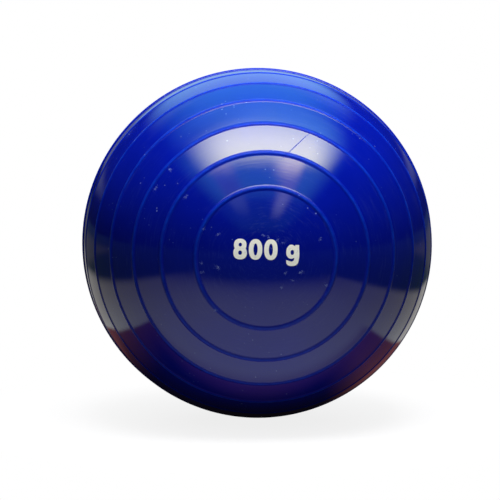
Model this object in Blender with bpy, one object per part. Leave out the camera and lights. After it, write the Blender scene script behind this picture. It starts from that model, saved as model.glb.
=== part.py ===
"""Throwing ball of 800 g: a ringed plastic shell in two halves, filled with sand and closed by a plug.

Metres, +Z up. The origin is the ball's centre. The rings are turned about the Y axis: the marked pole
faces -Y, the filling hole and its plug are at the +Y pole, and the halves meet in the plane Y = 0.
"""

import math

import bmesh
import bpy

MM = 0.001

# Outside of the ball
BALL_DIAMETER = 100.0 * MM  # over the crests of the ridges
RING_COUNT = 7  # ridges on each half, the last one shared on the joint line
FIRST_RING_ANGLE = math.radians(22.1)  # of the innermost ridge from its pole, at the ball's centre
SECOND_RING_ANGLE = math.radians(34.0)  # of the next one. From it on the ridges are even steps apart
RIDGE_WIDTH = 1.4 * MM
RIDGE_HEIGHT = 0.4 * MM
BAND_RISE = 0.09 * MM  # how far a band between ridges bulges over a straight cone

# Shell
WALL = 5.6 * MM  # under the bands
LIP_LENGTH = 5.0 * MM  # spigot on the front half that centres the rear half
LIP_THICKNESS = 2.6 * MM

# Filling hole and plug
PLUG_HEAD_DIAMETER = 16.0 * MM
PLUG_HEAD_THICKNESS = 2.4 * MM
PLUG_SHANK_DIAMETER = 10.0 * MM
PLUG_SINK = 0.3 * MM  # of the plug's flat face below the chamfer of its seat
PLUG_CHAMFER = 0.5 * MM
SEAT_CHAMFER = 0.6 * MM

# Clearances between pieces
FIT_GAP = 0.3 * MM  # between mating faces of the halves, and round the plug
FILL_GAP = 0.5 * MM  # between the sand and the wall

# Smoothness of the turned surfaces
SHELL_SIDES = 48
PLUG_SIDES = 32
FILL_SIDES = 32
CAP_STEPS = 6
BAND_STEPS = 2
RIDGE_STEPS = 4  # an even number, so that the ridge on the joint line splits at its crest
WALL_STEPS = 9
FILL_STEPS = 16
SHARP_ANGLE = math.radians(35)
WELD_DISTANCE = 0.001 * MM

# Worked out from the sizes above
QUARTER_TURN = math.pi / 2
CREST_RADIUS = BALL_DIAMETER / 2
SKIN_RADIUS = CREST_RADIUS - RIDGE_HEIGHT
CAVITY_RADIUS = SKIN_RADIUS - WALL
RING_PITCH = (QUARTER_TURN - SECOND_RING_ANGLE) / (RING_COUNT - 2)
RIDGE_HALF_ANGLE = math.asin(RIDGE_WIDTH / 2 / SKIN_RADIUS)
LIP_RADIUS = CAVITY_RADIUS + LIP_THICKNESS

# Heights over the plane of the joint, each half standing on it with its pole up
JOINT_HEIGHT = FIT_GAP / 2
SEAT_RADIUS = PLUG_HEAD_DIAMETER / 2 + FIT_GAP
BORE_RADIUS = PLUG_SHANK_DIAMETER / 2 + FIT_GAP
SEAT_MOUTH_RADIUS = SEAT_RADIUS + SEAT_CHAMFER
SEAT_MOUTH_ANGLE = math.asin(SEAT_MOUTH_RADIUS / SKIN_RADIUS)
SEAT_EDGE_HEIGHT = SKIN_RADIUS * math.cos(SEAT_MOUTH_ANGLE) - SEAT_CHAMFER
PLUG_FACE_HEIGHT = SEAT_EDGE_HEIGHT - PLUG_SINK
PLUG_SHOULDER_HEIGHT = PLUG_FACE_HEIGHT - PLUG_HEAD_THICKNESS
SEAT_FLOOR_HEIGHT = PLUG_SHOULDER_HEIGHT - FIT_GAP

# Colours, as linear RGB
COBALT_BLUE = (0.004, 0.018, 0.300)
DRY_SAND = (0.480, 0.360, 0.200)


def on_sphere(angle, radius):
    """Profile point (distance from the axis, height) at this angle from the pole."""
    return (radius * math.sin(angle), radius * math.cos(angle))


def bulged(start, end, rise, steps):
    """Points after start, up to end, on the circular arc that rises this far over their chord.

    The arc bulges to the left of the way from start to end.
    """
    chord_x = end[0] - start[0]
    chord_y = end[1] - start[1]
    chord = math.hypot(chord_x, chord_y)
    radius = (chord**2 / 4 + rise**2) / (2 * rise)
    half_angle = math.asin(chord / 2 / radius)
    centre_depth = radius - rise
    points = []
    for step in range(1, steps):
        angle = half_angle * (2 * step / steps - 1)
        along = chord / 2 + radius * math.sin(angle)
        out = radius * math.cos(angle) - centre_depth
        points.append(
            (
                start[0] + (chord_x * along - chord_y * out) / chord,
                start[1] + (chord_y * along + chord_x * out) / chord,
            )
        )
    return points + [end]


def skin_profile(first_angle):
    """The ringed outside of one half, from this angle off its pole down to the joint face."""
    first_foot = FIRST_RING_ANGLE - RIDGE_HALF_ANGLE
    points = []
    for step in range(CAP_STEPS + 1):
        angle = first_angle + (first_foot - first_angle) * step / CAP_STEPS
        points.append(on_sphere(angle, SKIN_RADIUS))
    for ring in range(RING_COUNT):
        angle = SECOND_RING_ANGLE + RING_PITCH * (ring - 1) if ring else FIRST_RING_ANGLE
        near_foot = on_sphere(angle - RIDGE_HALF_ANGLE, SKIN_RADIUS)
        far_foot = on_sphere(angle + RIDGE_HALF_ANGLE, SKIN_RADIUS)
        if ring:
            points += bulged(points[-1], near_foot, BAND_RISE, BAND_STEPS)
        points += bulged(near_foot, far_foot, RIDGE_HEIGHT, RIDGE_STEPS)
    above_joint = [point for point in points if point[1] > JOINT_HEIGHT]
    return above_joint + [(CREST_RADIUS, JOINT_HEIGHT)]


def cavity_profile(low_height, high_angle):
    """The inner wall of one half, from this height up to this angle off its pole."""
    low_angle = math.acos(low_height / CAVITY_RADIUS)
    points = []
    for step in range(WALL_STEPS + 1):
        angle = low_angle + (high_angle - low_angle) * step / WALL_STEPS
        points.append(on_sphere(angle, CAVITY_RADIUS))
    return points


def turned(name, profile, sides, closed=False):
    """A solid turned about its object's own Z axis. Its profile runs down the outside and back up the inside.

    An open profile starts and ends on the axis, and a closed one goes all round a piece with a hole.
    """
    mesh = bpy.data.meshes.new(name)
    shape = bmesh.new()
    verts = [shape.verts.new((radius, 0.0, height)) for radius, height in profile]
    edges = [shape.edges.new(pair) for pair in zip(verts, verts[1:])]
    if closed:
        edges.append(shape.edges.new((verts[-1], verts[0])))
    bmesh.ops.spin(
        shape,
        geom=verts + edges,
        cent=(0, 0, 0),
        axis=(0, 0, 1),
        angle=2 * math.pi,
        steps=sides,
    )
    bmesh.ops.remove_doubles(shape, verts=shape.verts, dist=WELD_DISTANCE)
    bmesh.ops.recalc_face_normals(shape, faces=shape.faces)
    shape.to_mesh(mesh)
    shape.free()
    mesh.shade_smooth()
    mesh.set_sharp_from_angle(angle=SHARP_ANGLE)
    piece = bpy.data.objects.new(name, mesh)
    bpy.context.collection.objects.link(piece)
    return piece


def finish(name, colour, roughness):
    """A non-metal surface."""
    material = bpy.data.materials.new(name)
    material.use_nodes = True
    surface = material.node_tree.nodes["Principled BSDF"]
    surface.inputs["Base Color"].default_value = (*colour, 1.0)
    surface.inputs["Roughness"].default_value = roughness
    surface.inputs["Metallic"].default_value = 0.0
    return material


def front_shell():
    """Half with the mark. A lip behind its joint face fits inside the other half."""
    profile = skin_profile(0.0)
    profile += [
        (LIP_RADIUS, JOINT_HEIGHT),
        (LIP_RADIUS, JOINT_HEIGHT - LIP_LENGTH),
        (CAVITY_RADIUS, JOINT_HEIGHT - LIP_LENGTH),
    ]
    profile += cavity_profile(JOINT_HEIGHT, 0.0)
    return turned("front_shell", profile, SHELL_SIDES)


def rear_shell():
    """Half with the rebate for the lip, and a stepped filling hole in its pole."""
    rebate_radius = LIP_RADIUS + FIT_GAP
    rebate_height = LIP_LENGTH - JOINT_HEIGHT + FIT_GAP
    bore_edge_angle = math.asin(BORE_RADIUS / CAVITY_RADIUS)
    profile = skin_profile(SEAT_MOUTH_ANGLE)
    profile += [
        (rebate_radius, JOINT_HEIGHT),
        (rebate_radius, rebate_height),
    ]
    profile += cavity_profile(rebate_height, bore_edge_angle)
    profile += [
        (BORE_RADIUS, SEAT_FLOOR_HEIGHT),
        (SEAT_RADIUS, SEAT_FLOOR_HEIGHT),
        (SEAT_RADIUS, SEAT_EDGE_HEIGHT),
    ]
    return turned("rear_shell", profile, SHELL_SIDES, closed=True)


def fill_plug():
    """Stepped plug: its flat head sits in the seat, and its shank fills the bore down to the sand."""
    head_radius = PLUG_HEAD_DIAMETER / 2
    shank_radius = PLUG_SHANK_DIAMETER / 2
    profile = [
        (0.0, PLUG_FACE_HEIGHT),
        (head_radius - PLUG_CHAMFER, PLUG_FACE_HEIGHT),
        (head_radius, PLUG_FACE_HEIGHT - PLUG_CHAMFER),
        (head_radius, PLUG_SHOULDER_HEIGHT),
        (shank_radius, PLUG_SHOULDER_HEIGHT),
        (shank_radius, CAVITY_RADIUS + PLUG_CHAMFER),
        (shank_radius - PLUG_CHAMFER, CAVITY_RADIUS),
        (0.0, CAVITY_RADIUS),
    ]
    return turned("fill_plug", profile, PLUG_SIDES)


def sand_fill():
    """Packed charge of sand, which takes the shape of the cavity."""
    radius = CAVITY_RADIUS - FILL_GAP
    profile = [on_sphere(math.pi * step / FILL_STEPS, radius) for step in range(FILL_STEPS + 1)]
    return turned("sand_fill", profile, FILL_SIDES)


def build():
    for old in list(bpy.data.objects):
        bpy.data.objects.remove(old, do_unlink=True)
    plastic = finish("moulded PVC, cobalt blue", COBALT_BLUE, roughness=0.18)
    sand = finish("dry sand", DRY_SAND, roughness=0.95)
    centre = bpy.data.objects.new("ball_centre", None)
    bpy.context.collection.objects.link(centre)
    pieces = (
        (front_shell(), plastic, QUARTER_TURN),
        (rear_shell(), plastic, -QUARTER_TURN),
        (fill_plug(), plastic, -QUARTER_TURN),
        (sand_fill(), sand, QUARTER_TURN),
    )
    for piece, material, turn in pieces:
        piece.data.materials.append(material)
        piece.rotation_euler.x = turn
        piece.parent = centre


build()
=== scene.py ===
"""Looks of the 800 g throwing ball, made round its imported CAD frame.

Metres, +Z up. The ball's centre is the origin, its marked pole faces -Y and its filling plug +Y.
"""

import math

import bmesh
import bpy
from bpy.props import FloatProperty, FloatVectorProperty, IntProperty, PointerProperty
from mathutils import Matrix, Vector


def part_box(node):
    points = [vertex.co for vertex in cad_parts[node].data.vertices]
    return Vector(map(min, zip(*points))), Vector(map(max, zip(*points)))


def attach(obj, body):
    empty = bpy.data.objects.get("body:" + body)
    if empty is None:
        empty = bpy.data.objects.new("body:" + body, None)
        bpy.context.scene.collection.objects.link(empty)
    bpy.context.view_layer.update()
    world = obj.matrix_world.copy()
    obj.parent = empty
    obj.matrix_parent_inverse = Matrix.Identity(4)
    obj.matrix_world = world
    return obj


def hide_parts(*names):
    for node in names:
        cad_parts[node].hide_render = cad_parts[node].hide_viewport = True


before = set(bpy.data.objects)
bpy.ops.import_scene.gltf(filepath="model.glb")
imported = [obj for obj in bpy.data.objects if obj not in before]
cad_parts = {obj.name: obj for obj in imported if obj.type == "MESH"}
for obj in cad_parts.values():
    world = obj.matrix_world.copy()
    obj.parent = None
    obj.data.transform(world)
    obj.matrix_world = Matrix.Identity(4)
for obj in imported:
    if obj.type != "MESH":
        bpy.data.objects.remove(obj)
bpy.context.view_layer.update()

bl_info = {
    "name": "Throwing ball",
    "version": (1, 0, 0),
    "blender": (4, 5, 0),
    "location": "3D View > Sidebar > Throwing ball",
    "description": "Builds a ringed plastic throwing ball and the stage it is pictured on",
    "category": "Object",
}

MM = 0.001
QUARTER_TURN = math.pi / 2

# Read from the frame
SHELL_LOW, SHELL_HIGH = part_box("front_shell")
PLUG_LOW, PLUG_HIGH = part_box("fill_plug")
CREST_RADIUS = SHELL_HIGH.x
INK_ROOM = 0.035 * MM  # left under the CAD's box for the film of ink at the pole
SKIN_RADIUS = -SHELL_LOW.y - INK_ROOM
FLOOR_HEIGHT = SHELL_LOW.z

# Kinds of socket and node that many trees use
GEOMETRY = "NodeSocketGeometry"
FLOAT = "NodeSocketFloat"
WHOLE = "NodeSocketInt"
MATERIAL = "NodeSocketMaterial"
MATH = "ShaderNodeMath"
VECTOR_MATH = "ShaderNodeVectorMath"
MAP_RANGE = "ShaderNodeMapRange"
NOISE = "ShaderNodeTexNoise"
MIX = "ShaderNodeMix"
MIX_COLOURS = {"data_type": "RGBA"}
MIX_FACTOR, MIX_A, MIX_B, MIX_RESULT = 0, 6, 7, 2  # its sockets where it mixes colours

WELD_DISTANCE = 0.001 * MM
SHARP_ANGLE = math.radians(40)

# Steps of the arcs in the turned profiles
CAVITY_STEPS = 24
RIM_STEPS = 8
EDGE_STEPS = 6
CORNER_STEPS = 4


def linear(colour):
    """An sRGB hex colour as the linear RGB that Blender works in."""
    shares = [int(colour[start : start + 2], 16) / 255 for start in (1, 3, 5)]
    return tuple(s / 12.92 if s <= 0.04045 else ((s + 0.055) / 1.055) ** 2.4 for s in shares)


class ShellSettings(bpy.types.PropertyGroup):
    """Sizes of the two half shells."""

    ring_count: IntProperty(
        name="Rings",
        description="Ridges on each half, the last one shared on the joint line",
        default=7,
        min=2,
    )
    first_ring: FloatProperty(
        name="First ring",
        description="Angle of the innermost ridge from its pole, at the ball's centre",
        default=math.radians(22.1),
        unit="ROTATION",
    )
    second_ring: FloatProperty(
        name="Second ring",
        description="Angle of the next ridge. From it on the ridges are even steps apart",
        default=math.radians(34.0),
        unit="ROTATION",
    )
    ridge_width: FloatProperty(
        name="Ridge width", description="From foot to foot", default=1.4 * MM, unit="LENGTH", precision=5
    )
    ridge_height: FloatProperty(
        name="Ridge height",
        description="Over the bands. The ridge on the joint line stands higher, at the ball's full size",
        default=0.2 * MM,
        unit="LENGTH",
        precision=5,
    )
    ridge_foot: FloatProperty(
        name="Ridge foot",
        description="How far the hollow at a ridge's foot blends into the band",
        default=0.10 * MM,
        unit="LENGTH",
        precision=5,
    )
    band_rise: FloatProperty(
        name="Band rise",
        description="How far a band between ridges bulges over a straight cone",
        default=0.09 * MM,
        unit="LENGTH",
        precision=5,
    )
    wall: FloatProperty(
        name="Wall", description="Thickness under the bands", default=5.6 * MM, unit="LENGTH", precision=5
    )
    lip_length: FloatProperty(
        name="Lip length", description="Spigot of the front half", default=5.0 * MM, unit="LENGTH"
    )
    lip_thickness: FloatProperty(
        name="Lip thickness", description="Spigot of the front half", default=2.6 * MM, unit="LENGTH"
    )
    fit_gap: FloatProperty(
        name="Fit gap", description="Round the lip and the plug", default=0.3 * MM, unit="LENGTH"
    )
    seam_gap: FloatProperty(
        name="Seam gap", description="Between the halves at the weld", default=0.06 * MM, unit="LENGTH"
    )
    seam_round: FloatProperty(
        name="Seam rounding", description="Radius along the weld", default=0.12 * MM, unit="LENGTH"
    )
    steps: IntProperty(name="Steps", description="Along the skin, from pole to joint", default=420)
    sides: IntProperty(name="Sides", description="Round the axis", default=200)


class PlugSettings(bpy.types.PropertyGroup):
    """Sizes of the filling plug and its seat."""

    head_thickness: FloatProperty(
        name="Head thickness", description="Of the plug", default=2.4 * MM, unit="LENGTH"
    )
    shank_diameter: FloatProperty(
        name="Shank diameter", description="Of the plug", default=10.0 * MM, unit="LENGTH"
    )
    sink: FloatProperty(
        name="Sink", description="Of its face below the seat's edge", default=0.3 * MM, unit="LENGTH"
    )
    edge_round: FloatProperty(
        name="Edge rounding", description="Radius on the head's rim", default=0.5 * MM, unit="LENGTH"
    )
    seat_round: FloatProperty(
        name="Seat rounding", description="Width of the seat's rolled edge", default=0.6 * MM, unit="LENGTH"
    )
    gate_diameter: FloatProperty(
        name="Gate mark diameter", description="Dimple left by moulding", default=3.0 * MM, unit="LENGTH"
    )
    gate_depth: FloatProperty(
        name="Gate mark depth", description="Dimple left by moulding", default=0.2 * MM, unit="LENGTH"
    )
    sides: IntProperty(name="Sides", description="Round the axis", default=96)


class MarkSettings(bpy.types.PropertyGroup):
    """Sizes of the printed weight mark."""

    digit_height: FloatProperty(
        name="Digit height", description="Of the printed figures", default=5.42 * MM, unit="LENGTH"
    )
    height_over_pole: FloatProperty(
        name="Height over the pole", description="Of the mark's middle", default=2.63 * MM, unit="LENGTH"
    )
    turn: FloatProperty(
        name="Turn",
        description="Of the mark, anticlockwise seen from the front",
        default=math.radians(-1.2),
        unit="ROTATION",
    )
    film: FloatProperty(
        name="Ink film", description="Thickness of the ink", default=0.03 * MM, unit="LENGTH", precision=5
    )


class FinishSettings(bpy.types.PropertyGroup):
    """Colours and texture sizes of the surfaces."""

    plastic: FloatVectorProperty(
        name="Plastic", description="Dyed all through", subtype="COLOR", default=linear("#021187")
    )
    scuffed: FloatVectorProperty(
        name="Scuffed plastic", description="Where it has rubbed", subtype="COLOR", default=linear("#7F90C8")
    )
    rubbed: FloatVectorProperty(
        name="Rubbed plastic", description="On the ridges", subtype="COLOR", default=linear("#0F55DC")
    )
    ink: FloatVectorProperty(
        name="Ink", description="Of the weight mark", subtype="COLOR", default=linear("#FDFCF6")
    )
    sand: FloatVectorProperty(
        name="Sand", description="Dry quartz grains", subtype="COLOR", default=linear("#C9A877")
    )
    turning_pitch: FloatProperty(
        name="Turning lines",
        description="Spacing of the lathe's lines, which the mould left in the skin",
        default=0.8 * MM,
        unit="LENGTH",
    )


class StageSettings(bpy.types.PropertyGroup):
    """Where the camera stands, and its lens."""

    azimuth: FloatProperty(
        name="Azimuth", description="Of the camera", default=math.radians(-2.75), unit="ROTATION"
    )
    elevation: FloatProperty(
        name="Elevation", description="Of the camera", default=math.radians(4.95), unit="ROTATION"
    )
    distance: FloatProperty(
        name="Distance", description="From the ball's centre to the camera", default=0.585, unit="LENGTH"
    )
    lens: FloatProperty(name="Lens", description="Focal length", default=147.3, unit="CAMERA")


def add(tree, kind, inputs=None, **settings):
    """Adds a node with its settings and links.

    Its inputs go by name or number, each as a value, a socket, or a node whose first output is meant.
    """
    node = tree.nodes.new(kind)
    for setting, value in settings.items():
        setattr(node, setting, value)
    for key, value in (inputs or {}).items():
        if isinstance(value, bpy.types.Node):
            value = value.outputs[0]
        if isinstance(value, bpy.types.NodeSocket):
            tree.links.new(value, node.inputs[key])
        else:
            node.inputs[key].default_value = value
    return node


def new_tree(name, inputs, outputs):
    """An empty geometry node tree, its inputs and outputs each given as a name and a kind of socket."""
    tree = bpy.data.node_groups.new(name, "GeometryNodeTree")
    for direction, sockets in (("INPUT", inputs), ("OUTPUT", outputs)):
        for label, kind in sockets.items():
            tree.interface.new_socket(label, in_out=direction, socket_type=kind)
    return tree


def bulge_tree():
    """How far from the centre an arc over a chord lies, at an angle from the arc's middle."""
    inputs = {"Skin Radius": FLOAT, "Half Angle": FLOAT, "Rise": FLOAT, "Angle": FLOAT}
    tree = new_tree("Bulge over a chord", inputs, {"Radius": FLOAT})
    given = add(tree, "NodeGroupInput").outputs
    sine = add(tree, MATH, {0: given["Half Angle"]}, operation="SINE")
    cosine = add(tree, MATH, {0: given["Half Angle"]}, operation="COSINE")
    half_chord = add(tree, MATH, {0: given["Skin Radius"], 1: sine}, operation="MULTIPLY")
    chord_depth = add(tree, MATH, {0: given["Skin Radius"], 1: cosine}, operation="MULTIPLY")
    chord_square = add(tree, MATH, {0: half_chord, 1: half_chord}, operation="MULTIPLY")
    rise = given["Rise"]
    squares = add(tree, MATH, {0: rise, 1: rise, 2: chord_square}, operation="MULTIPLY_ADD")
    double_rise = add(tree, MATH, {0: rise, 1: 2.0}, operation="MULTIPLY")
    arc_radius = add(tree, MATH, {0: squares, 1: double_rise}, operation="DIVIDE")
    top = add(tree, MATH, {0: chord_depth, 1: rise}, operation="ADD")
    centre = add(tree, MATH, {0: top, 1: arc_radius}, operation="SUBTRACT")
    across = add(tree, MATH, {0: given["Angle"]}, operation="SINE")
    along = add(tree, MATH, {0: given["Angle"]}, operation="COSINE")
    offset = add(tree, MATH, {0: centre, 1: across}, operation="MULTIPLY")
    offset_square = add(tree, MATH, {0: offset, 1: offset}, operation="MULTIPLY")
    arc_square = add(tree, MATH, {0: arc_radius, 1: arc_radius}, operation="MULTIPLY")
    rest = add(tree, MATH, {0: arc_square, 1: offset_square}, operation="SUBTRACT")
    rest = add(tree, MATH, {0: rest, 1: 0.0}, operation="MAXIMUM")
    rest = add(tree, MATH, {0: rest}, operation="SQRT")
    radius = add(tree, MATH, {0: centre, 1: along, 2: rest}, operation="MULTIPLY_ADD")
    add(tree, "NodeGroupOutput", {"Radius": radius})
    return tree


def turned_tree():
    """Turns a profile, x away from the axis and y along it, into a welded skin round that axis."""
    inputs = {
        "Geometry": GEOMETRY,
        "Sides": WHOLE,
        "Path Radius": FLOAT,
        "Pole Turn": FLOAT,
        "Material": MATERIAL,
    }
    tree = new_tree("Turned round its axis", inputs, {"Geometry": GEOMETRY})
    given = add(tree, "NodeGroupInput").outputs
    profile = add(tree, "GeometryNodeMeshToCurve", {"Mesh": given["Geometry"]})
    inward = add(tree, MATH, {0: given["Path Radius"], 1: -1.0}, operation="MULTIPLY")
    shift = add(tree, "ShaderNodeCombineXYZ", {"X": inward})
    placed = add(
        tree,
        "GeometryNodeTransform",
        {"Geometry": profile, "Translation": shift, "Scale": (1.0, -1.0, 1.0)},
    )
    path = add(
        tree,
        "GeometryNodeCurvePrimitiveCircle",
        {"Resolution": given["Sides"], "Radius": given["Path Radius"]},
    )
    skin = add(tree, "GeometryNodeCurveToMesh", {"Curve": path, "Profile Curve": placed})
    welded = add(tree, "GeometryNodeMergeByDistance", {"Geometry": skin, "Distance": WELD_DISTANCE})
    turn = add(tree, "ShaderNodeCombineXYZ", {"X": given["Pole Turn"]})
    turned = add(tree, "GeometryNodeTransform", {"Geometry": welded, "Rotation": turn})
    smooth = add(tree, "GeometryNodeSetShadeSmooth", {"Geometry": turned})
    real = add(tree, "GeometryNodeRealizeInstances", {"Geometry": smooth})
    coated = add(tree, "GeometryNodeSetMaterial", {"Geometry": real, "Material": given["Material"]})
    add(tree, "NodeGroupOutput", {"Geometry": coated})
    return tree


def ringed_shell_tree():
    """A half shell: its skin follows the rule of the rings, and closes the inside profile that comes in."""
    inputs = {
        "Geometry": GEOMETRY,
        "Skin Radius": FLOAT,
        "Ridge Height": FLOAT,
        "Joint Ridge Height": FLOAT,
        "Ridge Width": FLOAT,
        "Ridge Foot": FLOAT,
        "Band Rise": FLOAT,
        "Ring Count": WHOLE,
        "First Ring": FLOAT,
        "Second Ring": FLOAT,
        "Start Angle": FLOAT,
        "End Angle": FLOAT,
        "Steps": WHOLE,
        "Sides": WHOLE,
        "Pole Turn": FLOAT,
        "Material": MATERIAL,
    }
    tree = new_tree("Ringed half shell", inputs, {"Geometry": GEOMETRY})
    given = add(tree, "NodeGroupInput").outputs

    # Each point's angle from the pole
    index = add(tree, "GeometryNodeInputIndex")
    angle = add(
        tree,
        MAP_RANGE,
        {
            "Value": index,
            "From Max": given["Steps"],
            "To Min": given["Start Angle"],
            "To Max": given["End Angle"],
        },
        clamp=False,
    )

    # Where it lies between the rings. The first band has a width of its own, and the others are even steps
    first_ring, second_ring = given["First Ring"], given["Second Ring"]
    even_width = add(tree, MATH, {0: QUARTER_TURN, 1: second_ring}, operation="SUBTRACT")
    even_bands = add(tree, MATH, {0: given["Ring Count"], 1: 2.0}, operation="SUBTRACT")
    pitch = add(tree, MATH, {0: even_width, 1: even_bands}, operation="DIVIDE")
    past_second = add(tree, MATH, {0: angle, 1: second_ring}, operation="SUBTRACT")
    place = add(tree, MATH, {0: past_second, 1: pitch}, operation="DIVIDE")
    nearest = add(tree, MATH, {0: place}, operation="ROUND")
    nearest = add(tree, "ShaderNodeClamp", {"Value": nearest, "Max": even_bands})
    at_joint = add(tree, MATH, {0: nearest, 1: even_bands, 2: 0.5}, operation="COMPARE")
    rise = add(
        tree,
        MIX,
        {"Factor": at_joint, "A": given["Ridge Height"], "B": given["Joint Ridge Height"]},
    )
    off_even_ridge = add(tree, MATH, {0: place, 1: nearest}, operation="SUBTRACT")
    off_even_ridge = add(tree, MATH, {0: off_even_ridge, 1: pitch}, operation="MULTIPLY")
    past_first = add(tree, MATH, {0: angle, 1: first_ring}, operation="SUBTRACT")
    first_width = add(tree, MATH, {0: second_ring, 1: first_ring}, operation="SUBTRACT")
    first_middle = add(tree, MATH, {0: first_width, 1: 0.5}, operation="MULTIPLY")
    near_first = add(tree, MATH, {0: past_first, 1: first_middle}, operation="LESS_THAN")
    off_ridge = add(tree, MIX, {"Factor": near_first, "A": off_even_ridge, "B": past_first})
    band = add(tree, MATH, {0: place}, operation="FLOOR")
    last_band = add(tree, MATH, {0: even_bands, 1: 1.0}, operation="SUBTRACT")
    band = add(tree, "ShaderNodeClamp", {"Value": band, "Max": last_band})
    band_middle = add(tree, MATH, {0: band, 1: 0.5}, operation="ADD")
    off_even_band = add(tree, MATH, {0: place, 1: band_middle}, operation="SUBTRACT")
    off_even_band = add(tree, MATH, {0: off_even_band, 1: pitch}, operation="MULTIPLY")
    off_first_band = add(tree, MATH, {0: past_first, 1: first_middle}, operation="SUBTRACT")
    in_first_band = add(tree, MATH, {0: past_second, 1: 0.0}, operation="LESS_THAN")
    off_band = add(tree, MIX, {"Factor": in_first_band, "A": off_even_band, "B": off_first_band})
    band_width = add(tree, MIX, {"Factor": in_first_band, "A": pitch, "B": first_width})

    # The skin is a ridge's crest or a band's flatter bulge, whichever is higher, blended at the foot
    double_skin = add(tree, MATH, {0: given["Skin Radius"], 1: 2.0}, operation="MULTIPLY")
    ridge_share = add(tree, MATH, {0: given["Ridge Width"], 1: double_skin}, operation="DIVIDE")
    half_ridge = add(tree, MATH, {0: ridge_share}, operation="ARCSINE")
    half_band = add(tree, MATH, {0: band_width, 1: 0.5}, operation="MULTIPLY")
    half_band = add(tree, MATH, {0: half_band, 1: half_ridge}, operation="SUBTRACT")
    bulge = bulge_tree()
    ridge, band_skin = (
        add(
            tree,
            "GeometryNodeGroup",
            {"Skin Radius": given["Skin Radius"], "Half Angle": half, "Rise": height, "Angle": off_middle},
            node_tree=bulge,
        )
        for half, height, off_middle in (
            (half_ridge, rise, off_ridge),
            (half_band, given["Band Rise"], off_band),
        )
    )
    in_cap = add(tree, MATH, {0: past_first, 1: 0.0}, operation="LESS_THAN")
    smooth_skin = add(tree, MIX, {"Factor": in_cap, "A": band_skin, "B": given["Skin Radius"]})
    radius = add(tree, MATH, {0: smooth_skin, 1: ridge, 2: given["Ridge Foot"]}, operation="SMOOTH_MAX")

    # The profile, whose last point meets the inside profile at the seam
    sine = add(tree, MATH, {0: angle}, operation="SINE")
    cosine = add(tree, MATH, {0: angle}, operation="COSINE")
    from_axis = add(tree, MATH, {0: radius, 1: sine}, operation="MULTIPLY")
    height = add(tree, MATH, {0: radius, 1: cosine}, operation="MULTIPLY")
    ruled = add(tree, "ShaderNodeCombineXYZ", {"X": from_axis, "Y": height})
    seam_edge = add(
        tree,
        "GeometryNodeSampleIndex",
        {"Geometry": given["Geometry"], "Value": add(tree, "GeometryNodeInputPosition")},
        data_type="FLOAT_VECTOR",
    )
    is_last = add(
        tree,
        "FunctionNodeCompare",
        {2: index, 3: given["Steps"]},
        data_type="INT",
        operation="EQUAL",
    )
    point = add(
        tree,
        "GeometryNodeSwitch",
        {"Switch": is_last, "False": ruled, "True": seam_edge},
        input_type="VECTOR",
    )
    count = add(tree, MATH, {0: given["Steps"], 1: 1.0}, operation="ADD")
    line = add(tree, "GeometryNodeMeshLine", {"Count": count})
    outside = add(tree, "GeometryNodeSetPosition", {"Geometry": line, "Position": point})
    profile = add(tree, "GeometryNodeJoinGeometry", {"Geometry": outside})
    tree.links.new(given["Geometry"], profile.inputs["Geometry"])
    shell = add(
        tree,
        "GeometryNodeGroup",
        {
            "Geometry": profile,
            "Sides": given["Sides"],
            "Path Radius": given["Skin Radius"],
            "Pole Turn": given["Pole Turn"],
            "Material": given["Material"],
        },
        node_tree=turned_tree(),
    )
    real = add(tree, "GeometryNodeRealizeInstances", {"Geometry": shell})
    coated = add(tree, "GeometryNodeSetMaterial", {"Geometry": real, "Material": given["Material"]})
    add(tree, "NodeGroupOutput", {"Geometry": coated})
    return tree


def grown(name, profile, tree, values):
    """A plain mesh that the tree makes out of a profile of points (distance from the axis, height)."""
    line = bpy.data.meshes.new(name)
    pairs = [(start, start + 1) for start in range(len(profile) - 1)]
    line.from_pydata([(x, y, 0.0) for x, y in profile], pairs, [])
    piece = bpy.data.objects.new(name, line)
    bpy.context.scene.collection.objects.link(piece)
    modifier = piece.modifiers.new(tree.name, "NODES")
    modifier.node_group = tree
    inputs = {item.name: item.identifier for item in tree.interface.items_tree if item.in_out == "INPUT"}
    for label, value in values.items():
        modifier[inputs[label]] = value
    graph = bpy.context.evaluated_depsgraph_get()
    mesh = bpy.data.meshes.new_from_object(piece.evaluated_get(graph), depsgraph=graph)
    piece.modifiers.remove(modifier)
    piece.data = mesh
    bpy.data.meshes.remove(line)
    mesh.name = name
    shape = bmesh.new()
    shape.from_mesh(mesh)
    bmesh.ops.recalc_face_normals(shape, faces=shape.faces)
    if any(not edge.is_manifold for edge in shape.edges):
        raise RuntimeError(f"{name} isn't closed")
    shape.to_mesh(mesh)
    shape.free()
    mesh.set_sharp_from_angle(angle=SHARP_ANGLE)
    return piece


def arc(centre, radius, start, end, steps):
    """Points on a circle in the profile's plane, from one angle to another, both ends included."""
    angles = [start + (end - start) * step / steps for step in range(steps + 1)]
    return [(centre[0] + radius * math.cos(a), centre[1] + radius * math.sin(a)) for a in angles]


def seam_corner(shell):
    """The rounded edge of a half at the weld, from the crest of its last ridge to its joint face."""
    height = shell.seam_gap / 2
    centre = (CREST_RADIUS - shell.seam_round, height + shell.seam_round)
    return arc(centre, shell.seam_round, 0.0, -QUARTER_TURN, EDGE_STEPS)


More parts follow.
